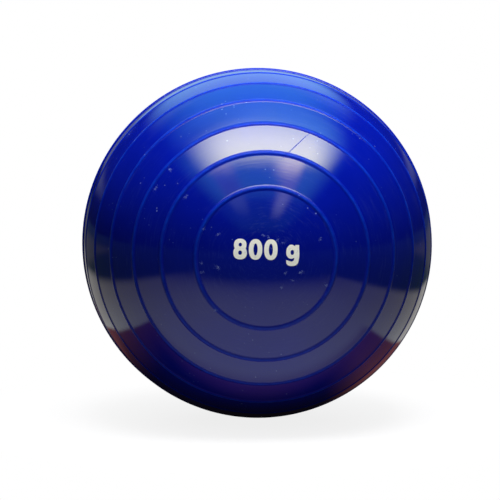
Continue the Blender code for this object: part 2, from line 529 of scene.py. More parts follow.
def ringed_half(name, inside, start_angle, pole_turn, material):
    """One half shell round its inside profile, which runs from the seam to the pole or the filling hole."""
    shell = bpy.context.scene.ball_shell
    end_angle = math.acos((shell.seam_gap / 2 + shell.seam_round) / CREST_RADIUS)
    values = {
        "Skin Radius": SKIN_RADIUS,
        "Ridge Height": shell.ridge_height,
        "Joint Ridge Height": CREST_RADIUS - SKIN_RADIUS,
        "Ridge Width": shell.ridge_width,
        "Ridge Foot": shell.ridge_foot,
        "Band Rise": shell.band_rise,
        "Ring Count": shell.ring_count,
        "First Ring": shell.first_ring,
        "Second Ring": shell.second_ring,
        "Start Angle": start_angle,
        "End Angle": end_angle,
        "Steps": shell.steps,
        "Sides": shell.sides,
        "Pole Turn": pole_turn,
        "Material": material,
    }
    piece = grown(name, inside, ringed_shell_tree(), values)
    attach(piece, "root")
    return piece


def on_skin(x, z):
    """The point of the front half's smooth skin that is seen straight from the front at x, z."""
    return Vector((x, -math.sqrt(SKIN_RADIUS**2 - x**2 - z**2), z))


# Scuffs and a scratch on the front half, in millimetres and degrees: x and z seen from the front, length,
# width, and the turn of the length
SCUFFS = (
    (-21.0, 16.1, 2.0, 1.3, 30),
    (-25.2, 23.0, 1.8, 1.3, -40),
    (-29.0, 18.0, 2.4, 1.3, 60),
    (-16.4, 7.8, 1.6, 1.0, 10),
    (-12.6, 6.5, 1.8, 1.0, 20),
    (-0.8, 6.3, 1.8, 1.0, -35),
    (0.5, 5.9, 1.6, 1.0, -70),
    (2.7, 4.9, 3.8, 1.0, 50),
    (4.2, 4.4, 2.2, 1.0, 5),
    (1.6, 2.8, 2.2, 1.0, 0),
    (14.3, 5.1, 1.6, 1.0, 40),
    (-17.0, -1.2, 1.8, 1.0, 0),
    (-12.8, -2.2, 2.4, 1.3, -40),
    (-17.0, -3.6, 1.6, 1.0, 15),
    (7.7, -1.3, 1.6, 1.3, -40),
    (5.0, -3.6, 1.6, 1.0, 30),
    (9.2, -3.5, 2.0, 1.3, 10),
    (6.9, -5.6, 1.6, 1.0, -20),
    (4.0, -7.4, 1.6, 1.0, 60),
    (16.0, -7.2, 1.6, 1.3, 0),
    (-13.3, -13.7, 1.8, 1.3, 20),
)
SCRATCH = (8.3, 29.4, 18.0, 0.26, 52)


def scuff_placing(x, z, turn):
    """A scuff's middle, and the rotation that lays its own X along its length and its Z out of the skin."""
    middle = on_skin(x * MM, z * MM)
    outward = middle.normalized()
    turn = math.radians(turn)
    along = Vector((math.cos(turn), 0.0, math.sin(turn)))
    along = (along - outward * along.dot(outward)).normalized()
    axes = Matrix((along, outward.cross(along), outward)).transposed()
    return middle, axes.to_euler()


def scuff_distance(tree, place, x, z, length, width, turn):
    """How far each point is from the middle of a long mark, 1 at its edge."""
    middle, rotation = scuff_placing(x, z, turn)
    own = add(
        tree,
        "ShaderNodeMapping",
        {
            "Vector": place,
            "Location": middle,
            "Rotation": rotation,
            "Scale": (length / 2 * MM, width / 2 * MM, MM),
        },
        vector_type="TEXTURE",
    )
    return add(tree, VECTOR_MATH, {0: own}, operation="LENGTH").outputs["Value"]


def surface(name):
    """A new material with its node tree, its shader and each point's place in the piece's own coordinates."""
    material = bpy.data.materials.new(name)
    material.use_nodes = True
    tree = material.node_tree
    place = add(tree, "ShaderNodeTexCoord").outputs["Object"]
    return material, tree, tree.nodes["Principled BSDF"], place


def coat(tree, shader, colour, rough, height):
    """Gives the shader its colour, its roughness and the relief of its surface."""
    relief = add(tree, "ShaderNodeBump", {"Height": height, "Distance": 1.0})
    tree.links.new(colour, shader.inputs["Base Color"])
    tree.links.new(rough.outputs[0], shader.inputs["Roughness"])
    tree.links.new(relief.outputs[0], shader.inputs["Normal"])


# Sizes in the skin of the blue plastic. Its turning lines and its marks of wiping are finer in the real one,
# and are drawn as coarse as they need to be to show.
WAVE_LENGTH = 7 * MM  # of the long shallow waves that the mould left
WAVE_DEPTH = 0.012 * MM
LINE_STRETCH = 14 * MM  # of the stretches on which turning lines show
LINE_DEPTH = 0.004 * MM
WIPING_WIDTH = 0.45 * MM  # of the short marks of wiping and rolling
WIPING_DEPTH = 0.005 * MM
WIPING_SPREAD = 5.0  # about six times as many marks as this follow each other round a pole
SCUFF_GRAIN = 0.2 * MM  # of the ragged edges of scuffs
SCUFF_DEPTH = 0.006 * MM
SCRATCH_DEPTH = 0.02 * MM
SPECK_CELL = 1.1 * MM  # holds one speck at most
SPECK_DRIFT = 8 * MM  # width of the drifts in which specks lie
RUBBED_LENGTH = 2.2 * MM  # of the rubbed stretches of a ridge
CLOUD_WIDTH = 9 * MM  # of the patches in the dye, and of the smears in the gloss
DEEPEST_DYE = 0.80  # of the plastic's own colour


def round_the_axis(tree, place):
    """Where each point lies round the axis through the poles.

    Gives its way off the axis as a vector, how far that is, its depth along it, and its angle from a pole.
    """
    flat = add(tree, VECTOR_MATH, {0: place, 1: (1.0, 0.0, 1.0)}, operation="MULTIPLY")
    from_axis = add(tree, VECTOR_MATH, {0: flat}, operation="LENGTH").outputs["Value"]
    depth = add(tree, "ShaderNodeSeparateXYZ", {0: place}).outputs["Y"]
    polar = add(tree, MATH, {0: from_axis, 1: depth}, operation="ARCTAN2")
    return flat, from_axis, depth, polar


def moulded_height(tree, place, polar, turning_pitch):
    """The height of the moulded skin, in long waves and turning lines, and the stretches with these lines."""
    turns = add(tree, MATH, {0: polar, 1: SKIN_RADIUS / turning_pitch}, operation="MULTIPLY")
    lines = add(tree, NOISE, {"W": turns, "Scale": 1.0, "Detail": 3.0}, noise_dimensions="1D")
    stretches = add(tree, NOISE, {"Vector": place, "Scale": 1 / LINE_STRETCH, "Detail": 2.0})
    stretches = add(tree, MAP_RANGE, {"Value": stretches, "From Min": 0.35, "From Max": 0.7})
    lines = add(tree, MATH, {0: lines, 1: LINE_DEPTH}, operation="MULTIPLY")
    lines = add(tree, MATH, {0: lines, 1: stretches}, operation="MULTIPLY")
    waves = add(tree, NOISE, {"Vector": place, "Scale": 1 / WAVE_LENGTH, "Detail": 1.0})
    height = add(tree, MATH, {0: waves, 1: WAVE_DEPTH, 2: lines}, operation="MULTIPLY_ADD")
    return height, stretches


def wiping_marks(tree, flat, polar):
    """Fine short marks of wiping and rolling, which lie along the turning lines."""
    around = add(tree, VECTOR_MATH, {0: flat}, operation="NORMALIZE")
    around = add(tree, VECTOR_MATH, {0: around, 3: WIPING_SPREAD}, operation="SCALE")
    across = add(tree, MATH, {0: polar, 1: SKIN_RADIUS / WIPING_WIDTH}, operation="MULTIPLY")
    across = add(tree, "ShaderNodeCombineXYZ", {"Y": across})
    marks = add(tree, VECTOR_MATH, {0: around, 1: across}, operation="ADD")
    return add(tree, NOISE, {"Vector": marks, "Scale": 1.0, "Detail": 3.0, "Roughness": 0.6})


def scuff_marks(tree, place):
    """Ragged scuffs round their middles. Away from them the noise never reaches the level that shows."""
    distances = [scuff_distance(tree, place, *scuff) for scuff in SCUFFS]
    nearest = distances[0]
    for distance in distances[1:]:
        nearest = add(tree, MATH, {0: nearest, 1: distance}, operation="MINIMUM")
    hit = add(tree, MAP_RANGE, {"Value": nearest, "From Min": 1.5, "From Max": 0.1, "To Max": 0.27})
    ragged = add(tree, NOISE, {"Vector": place, "Scale": 1 / SCUFF_GRAIN, "Detail": 2.0, "Distortion": 0.8})
    ragged = add(tree, MATH, {0: ragged, 1: hit}, operation="ADD")
    return add(tree, MAP_RANGE, {"Value": ragged, "From Min": 0.73, "From Max": 0.84, "To Max": 0.65})


def speck_marks(tree, place):
    """Small specks in drifts: some of the cells hold one, each of its own size."""
    cells = add(tree, "ShaderNodeTexVoronoi", {"Vector": place, "Scale": 1 / SPECK_CELL})
    chance = add(tree, "ShaderNodeSeparateColor", {0: cells.outputs["Color"]}).outputs[0]
    size = add(tree, MAP_RANGE, {"Value": chance, "From Min": 0.65, "From Max": 1.0, "To Max": 0.28})
    drifts = add(tree, NOISE, {"Vector": place, "Scale": 1 / SPECK_DRIFT, "Detail": 2.0})
    drifts = add(tree, MAP_RANGE, {"Value": drifts, "From Min": 0.40, "From Max": 0.65})
    size = add(tree, MATH, {0: size, 1: drifts}, operation="MULTIPLY")
    past_edge = add(tree, MATH, {0: cells.outputs["Distance"], 1: size}, operation="SUBTRACT")
    return add(tree, MAP_RANGE, {"Value": past_edge, "From Min": 0.0, "From Max": -0.12, "To Max": 0.50})


def off_nearest_ridge(tree, from_axis, depth):
    """How far each point is from the middle of the nearest ridge, along the skin."""
    shell = bpy.context.scene.ball_shell
    pitch = (QUARTER_TURN - shell.second_ring) / (shell.ring_count - 2)
    to_joint = add(tree, MATH, {0: depth}, operation="ABSOLUTE")
    from_pole = add(tree, MATH, {0: from_axis, 1: to_joint}, operation="ARCTAN2")
    past_second = add(tree, MATH, {0: from_pole, 1: shell.second_ring}, operation="SUBTRACT")
    band = add(tree, MATH, {0: past_second, 1: pitch}, operation="DIVIDE")
    nearest_ring = add(tree, MATH, {0: band}, operation="ROUND")
    nearest_ring = add(tree, MATH, {0: nearest_ring, 1: 0.0}, operation="MAXIMUM")
    off_even = add(tree, MATH, {0: band, 1: nearest_ring}, operation="SUBTRACT")
    off_even = add(tree, MATH, {0: off_even, 1: pitch * SKIN_RADIUS}, operation="MULTIPLY")
    off_even = add(tree, MATH, {0: off_even}, operation="ABSOLUTE")
    off_first = add(tree, MATH, {0: from_pole, 1: shell.first_ring}, operation="SUBTRACT")
    off_first = add(tree, MATH, {0: off_first, 1: SKIN_RADIUS}, operation="MULTIPLY")
    off_first = add(tree, MATH, {0: off_first}, operation="ABSOLUTE")
    return add(tree, MATH, {0: off_even, 1: off_first}, operation="MINIMUM")


def moulded_pvc():
    """Moulded PVC, dyed cobalt blue all through, with the gloss of a turned and polished mould.

    To the eye: a deep blue under a clear, slightly soft reflection, with faint turning lines round the poles,
    ridges that are duller than the bands and rubbed paler, and pale specks and scuffs from hits and rolling.
    """
    finish = bpy.context.scene.ball_finish
    foot = bpy.context.scene.ball_shell.ridge_width / 2
    material, tree, shader, place = surface("Moulded PVC, cobalt blue, glossy")
    flat, from_axis, depth, polar = round_the_axis(tree, place)
    height, stretches = moulded_height(tree, place, polar, finish.turning_pitch)
    brushed = wiping_marks(tree, flat, polar)
    scuffs = scuff_marks(tree, place)
    specks = speck_marks(tree, place)
    scratch = scuff_distance(tree, place, *SCRATCH)
    groove = add(tree, MAP_RANGE, {"Value": scratch, "From Min": 1.0, "From Max": 0.5})
    off_ridge = off_nearest_ridge(tree, from_axis, depth)
    ridge = add(tree, MAP_RANGE, {"Value": off_ridge, "From Min": 1.25 * foot, "From Max": 0.75 * foot})
    crest = add(tree, MAP_RANGE, {"Value": off_ridge, "From Min": 0.8 * foot, "From Max": 0.1 * foot})

    # The dye is a little uneven
    clouds = add(tree, NOISE, {"Vector": place, "Scale": 1 / CLOUD_WIDTH, "Detail": 5.0})
    deeper = [share * DEEPEST_DYE for share in finish.plastic]
    dyed = add(
        tree, MIX, {MIX_FACTOR: clouds, MIX_A: (*deeper, 1), MIX_B: (*finish.plastic, 1)}, **MIX_COLOURS
    ).outputs[MIX_RESULT]

    # Ridges are rubbed paler along their crests, some stretches more than others
    rubbed = add(
        tree,
        NOISE,
        {"Vector": place, "Scale": 1 / RUBBED_LENGTH, "Detail": 4.0, "Roughness": 0.65},
    )
    rubbed = add(
        tree,
        MAP_RANGE,
        {"Value": rubbed, "From Min": 0.3, "From Max": 0.8, "To Min": 0.06, "To Max": 0.36},
    )
    rubbed = add(tree, MATH, {0: rubbed, 1: crest}, operation="MULTIPLY")
    dyed = add(
        tree, MIX, {MIX_FACTOR: rubbed, MIX_A: dyed, MIX_B: (*finish.rubbed, 1)}, **MIX_COLOURS
    ).outputs[MIX_RESULT]

    # Scuffs and specks are pale, and the marks of wiping a little, where they are thick
    streaks = add(tree, MAP_RANGE, {"Value": brushed, "From Min": 0.52, "From Max": 0.80, "To Max": 0.07})
    streaks = add(tree, MATH, {0: streaks, 1: stretches}, operation="MULTIPLY")
    worn = add(tree, MATH, {0: scuffs, 1: specks}, operation="MAXIMUM")
    worn = add(tree, MATH, {0: worn, 1: streaks}, operation="MAXIMUM")
    colour = add(
        tree, MIX, {MIX_FACTOR: worn, MIX_A: dyed, MIX_B: (*finish.scuffed, 1)}, **MIX_COLOURS
    ).outputs[MIX_RESULT]

    # Handling leaves faint smears in the gloss, wiping dulls it, and a scuff, a scratch or a ridge has little
    smears = add(tree, NOISE, {"Vector": place, "Scale": 1 / CLOUD_WIDTH, "Detail": 5.0, "Distortion": 0.6})
    dull = add(
        tree,
        MAP_RANGE,
        {"Value": smears, "From Min": 0.3, "From Max": 0.75, "To Min": 0.01, "To Max": 0.07},
    )
    for mark, share in ((brushed, 0.10), (scuffs, 0.45), (ridge, 0.34), (groove, 0.5)):
        dull = add(tree, MATH, {0: mark, 1: share, 2: dull}, operation="MULTIPLY_ADD")
    mirror = add(tree, MATH, {0: ridge, 1: -0.37, 2: 0.5}, operation="MULTIPLY_ADD")
    mirror = add(tree, MATH, {0: groove, 1: -0.13, 2: mirror}, operation="MULTIPLY_ADD")
    tree.links.new(mirror.outputs[0], shader.inputs["Specular IOR Level"])

    height = add(tree, MATH, {0: brushed, 1: WIPING_DEPTH, 2: height}, operation="MULTIPLY_ADD")
    height = add(tree, MATH, {0: scuffs, 1: -SCUFF_DEPTH, 2: height}, operation="MULTIPLY_ADD")
    height = add(tree, MATH, {0: groove, 1: -SCRATCH_DEPTH, 2: height}, operation="MULTIPLY_ADD")
    coat(tree, shader, colour, dull, height)
    shader.inputs["IOR"].default_value = 1.5
    return material


# Sizes in the ink, whose thin spots are drawn coarse enough to show, and in the sand
INK_GRAIN = 0.45 * MM  # of the thin spots
INK_PATCH = 1.6 * MM  # of the patches that have yellowed
INK_RELIEF = 0.006 * MM
YELLOWED_INK = (0.95, 0.94, 0.80)  # of the ink's own colour
SAND_GRAIN = 0.5 * MM
SAND_RELIEF = 0.25 * MM  # from the top of a grain to its foot
DARKEST_GRAIN = 0.55  # of the sand's own colour


def printed_ink():
    """Pad-printed ink: a thin matt cream film, yellowed in patches, with thin spots where it has worn."""
    finish = bpy.context.scene.ball_finish
    material, tree, shader, place = surface("Pad-printed ink, cream")
    grains = add(tree, NOISE, {"Vector": place, "Scale": 1 / INK_GRAIN, "Detail": 3.0})
    thin = add(tree, MAP_RANGE, {"Value": grains, "From Min": 0.62, "From Max": 0.78, "To Max": 0.5})
    patches = add(tree, NOISE, {"Vector": place, "Scale": 1 / INK_PATCH, "Detail": 2.0})
    yellowed = [share * tint for share, tint in zip(finish.ink, YELLOWED_INK)]
    cream = add(
        tree, MIX, {MIX_FACTOR: patches, MIX_A: (*finish.ink, 1), MIX_B: (*yellowed, 1)}, **MIX_COLOURS
    ).outputs[MIX_RESULT]
    colour = add(
        tree, MIX, {MIX_FACTOR: thin, MIX_A: cream, MIX_B: (*finish.plastic, 1)}, **MIX_COLOURS
    ).outputs[MIX_RESULT]
    rough = add(tree, MAP_RANGE, {"Value": patches, "To Min": 0.45, "To Max": 0.6})
    height = add(tree, MATH, {0: grains, 1: INK_RELIEF}, operation="MULTIPLY")
    coat(tree, shader, colour, rough, height)
    return material


def dry_sand():
    """Dry quartz sand: pale, dull grains of half a millimetre, each its own shade."""
    finish = bpy.context.scene.ball_finish
    material, tree, shader, place = surface("Dry quartz sand, loose grains")
    grains = add(tree, "ShaderNodeTexVoronoi", {"Vector": place, "Scale": 1 / SAND_GRAIN})
    shade = add(tree, "ShaderNodeSeparateColor", {0: grains.outputs["Color"]}).outputs[0]
    dark = [share * DARKEST_GRAIN for share in finish.sand]
    colour = add(
        tree, MIX, {MIX_FACTOR: shade, MIX_A: (*dark, 1), MIX_B: (*finish.sand, 1)}, **MIX_COLOURS
    ).outputs[MIX_RESULT]
    rough = add(tree, MAP_RANGE, {"Value": shade, "To Min": 0.8, "To Max": 0.95})
    height = add(tree, MATH, {0: grains.outputs["Distance"], 1: -SAND_RELIEF}, operation="MULTIPLY")
    coat(tree, shader, colour, rough, height)
    return material


made_materials = {}


def shared(make):
    """The material that this function makes, made once and then used by every piece of that finish."""
    key = make.__name__
    if key not in made_materials:
        made_materials[key] = make()
    return made_materials[key]


class THROWING_BALL_OT_front_shell(bpy.types.Operator):
    """Builds the ringed front half shell, and its lip"""

    bl_idname = "throwing_ball.front_shell"
    bl_label = "Front half shell"

    def execute(self, context):
        shell = context.scene.ball_shell
        cavity = SKIN_RADIUS - shell.wall
        joint = shell.seam_gap / 2
        lip = cavity + shell.lip_thickness
        lip_end = joint - shell.lip_length
        inside = seam_corner(shell)
        inside += [(lip, joint), (lip, lip_end), (cavity, lip_end)]
        inside += arc((0.0, 0.0), cavity, math.asin(joint / cavity), QUARTER_TURN, CAVITY_STEPS)
        inside[-1] = (0.0, cavity)  # exactly on the axis
        piece = ringed_half("front_half_shell", inside, 0.0, QUARTER_TURN, shared(moulded_pvc))
        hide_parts("front_shell")
        return {"FINISHED"}


class THROWING_BALL_OT_rear_shell(bpy.types.Operator):
    """Builds the ringed half shell behind, with its rebate and the seat of the plug"""

    bl_idname = "throwing_ball.rear_shell"
    bl_label = "Rear half shell"

    def execute(self, context):
        shell = context.scene.ball_shell
        plug = context.scene.ball_plug
        cavity = SKIN_RADIUS - shell.wall
        joint = shell.seam_gap / 2
        rebate = cavity + shell.lip_thickness + shell.fit_gap
        rebate_end = shell.lip_length + shell.fit_gap
        bore = plug.shank_diameter / 2 + shell.fit_gap
        seat = PLUG_HIGH.x + shell.fit_gap
        seat_floor = PLUG_HIGH.y - plug.head_thickness - shell.fit_gap
        seat_edge = PLUG_HIGH.y + plug.sink
        mouth = seat + plug.seat_round
        mouth_angle = math.asin(mouth / SKIN_RADIUS)
        inside = seam_corner(shell)
        inside += [(rebate, joint), (rebate, rebate_end)]
        low_angle = math.asin(rebate_end / cavity)
        inside += arc((0.0, 0.0), cavity, low_angle, math.acos(bore / cavity), CAVITY_STEPS)
        inside += [(bore, seat_floor), (seat, seat_floor)]
        inside += arc((mouth, seat_edge), plug.seat_round, math.pi, QUARTER_TURN + mouth_angle, EDGE_STEPS)
        inside[-1] = (mouth, SKIN_RADIUS * math.cos(mouth_angle))  # exactly where the skin starts
        piece = ringed_half("rear_half_shell", inside, mouth_angle, -QUARTER_TURN, shared(moulded_pvc))
        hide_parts("rear_shell")
        return {"FINISHED"}


class THROWING_BALL_OT_fill_plug(bpy.types.Operator):
    """Builds the plug of the filling hole"""

    bl_idname = "throwing_ball.fill_plug"
    bl_label = "Filling plug"

    def execute(self, context):
        plug = context.scene.ball_plug
        head = PLUG_HIGH.x
        face = PLUG_HIGH.y
        shoulder = face - plug.head_thickness
        shank = plug.shank_diameter / 2
        tip = PLUG_LOW.y
        gate = plug.gate_diameter / 2
        rim = plug.edge_round
        dimple = face - plug.gate_depth
        profile = [(0.0, dimple)]
        profile += arc((gate, dimple), plug.gate_depth, math.pi, QUARTER_TURN, CORNER_STEPS)
        profile += arc((head - rim, face - rim), rim, QUARTER_TURN, 0.0, RIM_STEPS)
        profile += [(head, shoulder), (shank, shoulder)]
        profile += arc((shank - rim, tip + rim), rim, 0.0, -QUARTER_TURN, CORNER_STEPS)
        profile += [(0.0, tip)]
        values = {
            "Sides": plug.sides,
            "Path Radius": head,
            "Pole Turn": -QUARTER_TURN,
            "Material": shared(moulded_pvc),
        }
        piece = grown("filling_plug", profile, turned_tree(), values)
        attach(piece, "root")
        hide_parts("fill_plug")
        return {"FINISHED"}


class THROWING_BALL_OT_sand_fill(bpy.types.Operator):
    """Gives the charge of sand its finish"""

    bl_idname = "throwing_ball.sand_fill"
    bl_label = "Sand charge"

    def execute(self, context):
        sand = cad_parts["sand_fill"]
        sand.data.materials.clear()
        sand.data.materials.append(shared(dry_sand))
        return {"FINISHED"}


# Shapes of the weight mark, in heights of its figures, x to the right and y up from each glyph's middle
FIGURE_POWER = 2.3  # of the superellipses that the figures are drawn with
NOUGHT_HALF_WIDTH = 0.325
NOUGHT_HOLE = (0.100, 0.290)
# The figure 8's lobes and holes, each by its middle's height, its half width and its half height
EIGHT_LOBES = ((0.205, 0.300, 0.295), (-0.185, 0.325, 0.315))
EIGHT_HOLES = ((0.215, 0.078, 0.090), (-0.175, 0.088, 0.105))
EIGHT_WAIST = 0.262
LETTER_HOLE = (-0.015, -0.120, 0.088, 0.122)
# Outline of the letter g, clockwise from its top right corner: x, y, and whether it is round there
LETTER_OUTLINE = (
    (0.310, 0.240, False),
    (0.310, -0.470, True),
    (0.225, -0.700, True),
    (0.000, -0.778, True),
    (-0.225, -0.735, True),
    (-0.300, -0.640, False),
    (-0.300, -0.490, False),
    (-0.130, -0.545, True),
    (0.000, -0.555, True),
    (0.070, -0.490, True),
    (0.090, -0.385, False),
    (-0.090, -0.425, True),
    (-0.250, -0.330, True),
    (-0.310, -0.100, True),
    (-0.250, 0.130, True),
    (-0.090, 0.250, True),
    (0.060, 0.215, True),
    (0.120, 0.165, False),
    (0.130, 0.240, False),
)
GLYPH_PITCH = 0.74  # from the middle of a figure to the next one's
LETTER_GAP = 1.06  # from the middle of the last figure to the letter's
ROUND_POINTS = 40  # of a round outline, and of each side of the figure 8
LETTER_STEPS = 8  # between two points of the letter's outline
MARK_WELD = 0.0005  # joins the doubled points of the flat mark
MARK_CELL = 0.6 * MM  # of the grid that bends the flat mark round the ball
INK_SUNK = 0.01 * MM  # of the film's underside into the plastic


def rounded(centre, half_width, half_height, power=FIGURE_POWER):
    """A closed superellipse."""
    points = []
    for step in range(ROUND_POINTS):
        angle = 2 * math.pi * step / ROUND_POINTS
        x, y = math.cos(angle), math.sin(angle)
        x = math.copysign(abs(x) ** (2 / power), x) * half_width
        y = math.copysign(abs(y) ** (2 / power), y) * half_height
        points.append((centre[0] + x, centre[1] + y))
    return points


def eight_outline(centre_x):
    """The outside of the figure 8: at each height the wider of its lobes, and never less than the waist."""
    top = EIGHT_LOBES[0][0] + EIGHT_LOBES[0][2]
    bottom = EIGHT_LOBES[1][0] - EIGHT_LOBES[1][2]
    right = []
    for step in range(ROUND_POINTS + 1):
        height = (top + bottom) / 2 + (top - bottom) / 2 * math.cos(math.pi * step / ROUND_POINTS)
        width = 0.0
        for middle, half_width, half_height in EIGHT_LOBES:
            share = min(1.0, abs(height - middle) / half_height)
            width = max(width, half_width * (1 - share**FIGURE_POWER) ** (1 / FIGURE_POWER))
        if EIGHT_LOBES[1][0] < height < EIGHT_LOBES[0][0]:
            width = max(width, EIGHT_WAIST)
        right.append((width, height))
    left = [(-x, y) for x, y in reversed(right[1:-1])]
    return [(centre_x + x, y) for x, y in right + left]


def mark_loops():
    """The closed outlines of the mark, and the letter's, whose points may be corners."""
    eight, first, second = 0.0, GLYPH_PITCH, 2 * GLYPH_PITCH
    loops = [eight_outline(eight)]
    loops += [rounded((eight, y), width, height) for y, width, height in EIGHT_HOLES]
    for x in (first, second):
        loops += [rounded((x, 0.0), NOUGHT_HALF_WIDTH, 0.5), rounded((x, 0.0), *NOUGHT_HOLE, power=2.0)]
    letter = second + LETTER_GAP
    x, y, width, height = LETTER_HOLE
    loops += [rounded((letter + x, y), width, height, power=2.0)]
    return loops, [(letter + x, y, is_round) for x, y, is_round in LETTER_OUTLINE]


def flat_mark(loops, letter):
    """The mark as a flat mesh, in heights of its figures."""
    drawn = bpy.data.curves.new("weight_mark", "CURVE")
    drawn.dimensions = "2D"
    drawn.fill_mode = "BOTH"
    drawn.resolution_u = LETTER_STEPS
    for loop in loops:
        spline = drawn.splines.new("POLY")
        spline.points.add(len(loop) - 1)
        for point, (x, y) in zip(spline.points, loop):
            point.co = (x, y, 0.0, 1.0)
        spline.use_cyclic_u = True
    spline = drawn.splines.new("BEZIER")
    spline.bezier_points.add(len(letter) - 1)
    for point, (x, y, is_round) in zip(spline.bezier_points, letter):
        point.co = (x, y, 0.0)
        kind = "AUTO" if is_round else "VECTOR"
        point.handle_left_type = point.handle_right_type = kind
    spline.use_cyclic_u = True
    flat = bpy.data.objects.new("weight_mark_flat", drawn)
    bpy.context.scene.collection.objects.link(flat)
    graph = bpy.context.evaluated_depsgraph_get()
    mesh = bpy.data.meshes.new_from_object(flat.evaluated_get(graph), depsgraph=graph)
    bpy.data.objects.remove(flat)
    mesh.name = "weight_mark"
    mesh.materials.clear()
    return mesh


def cut_in_cells(shape):
    """Cuts the flat mark along a grid of small cells, so that it can bend."""
    for axis, normal in ((0, Vector((1.0, 0.0, 0.0))), (1, Vector((0.0, 1.0, 0.0)))):
        low = min(vertex.co[axis] for vertex in shape.verts)
        high = max(vertex.co[axis] for vertex in shape.verts)
        for cut in range(1, math.ceil((high - low) / MARK_CELL)):
            bmesh.ops.bisect_plane(
                shape,
                geom=shape.verts[:] + shape.edges[:] + shape.faces[:],
                plane_co=normal * (low + cut * MARK_CELL),
                plane_no=normal,
                dist=WELD_DISTANCE,
            )
    bmesh.ops.triangulate(shape, faces=shape.faces)


class THROWING_BALL_OT_weight_mark(bpy.types.Operator):
    """Prints the generic weight mark on the front pole, as a thin film of ink"""

    bl_idname = "throwing_ball.weight_mark"
    bl_label = "Weight mark"

    def execute(self, context):
        mark = context.scene.ball_mark
        mesh = flat_mark(*mark_loops())
        left = min(vertex.co.x for vertex in mesh.vertices)
        right = max(vertex.co.x for vertex in mesh.vertices)
        centre = Vector(((left + right) / 2, 0.0, 0.0))
        shape = bmesh.new()
        shape.from_mesh(mesh)
        bmesh.ops.remove_doubles(shape, verts=shape.verts, dist=MARK_WELD)
        for vertex in shape.verts:
            vertex.co = (vertex.co - centre) * mark.digit_height
            vertex.co.rotate(Matrix.Rotation(mark.turn, 3, "Z"))
            vertex.co.y += mark.height_over_pole
        cut_in_cells(shape)
        for vertex in shape.verts:
            spot = on_skin(vertex.co.x, vertex.co.y)
            vertex.co = spot - spot.normalized() * INK_SUNK
        made = bmesh.ops.extrude_face_region(shape, geom=shape.faces[:])
        for vertex in [part for part in made["geom"] if isinstance(part, bmesh.types.BMVert)]:
            vertex.co += vertex.co.normalized() * (mark.film + INK_SUNK)
        bmesh.ops.recalc_face_normals(shape, faces=shape.faces)
        shape.to_mesh(mesh)
        shape.free()
        mesh.shade_smooth()
        mesh.set_sharp_from_angle(angle=SHARP_ANGLE)
        mesh.materials.append(shared(printed_ink))
        piece = bpy.data.objects.new("weight_mark", mesh)
        context.scene.collection.objects.link(piece)
        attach(piece, "root")
        return {"FINISHED"}


# Heights of the cards on the table, in thin layers
LAYER = 0.03 * MM
TABLE_LEVEL = FLOOR_HEIGHT + LAYER
FAR_LEVEL = FLOOR_HEIGHT + 2 * LAYER
SHEET_LEVEL = FLOOR_HEIGHT + 3 * LAYER
GLARE_LEVEL = FLOOR_HEIGHT + 4 * LAYER
MAT_LEVEL = FLOOR_HEIGHT + 5 * LAYER
SHADE_LEVEL = FLOOR_HEIGHT + 6 * LAYER

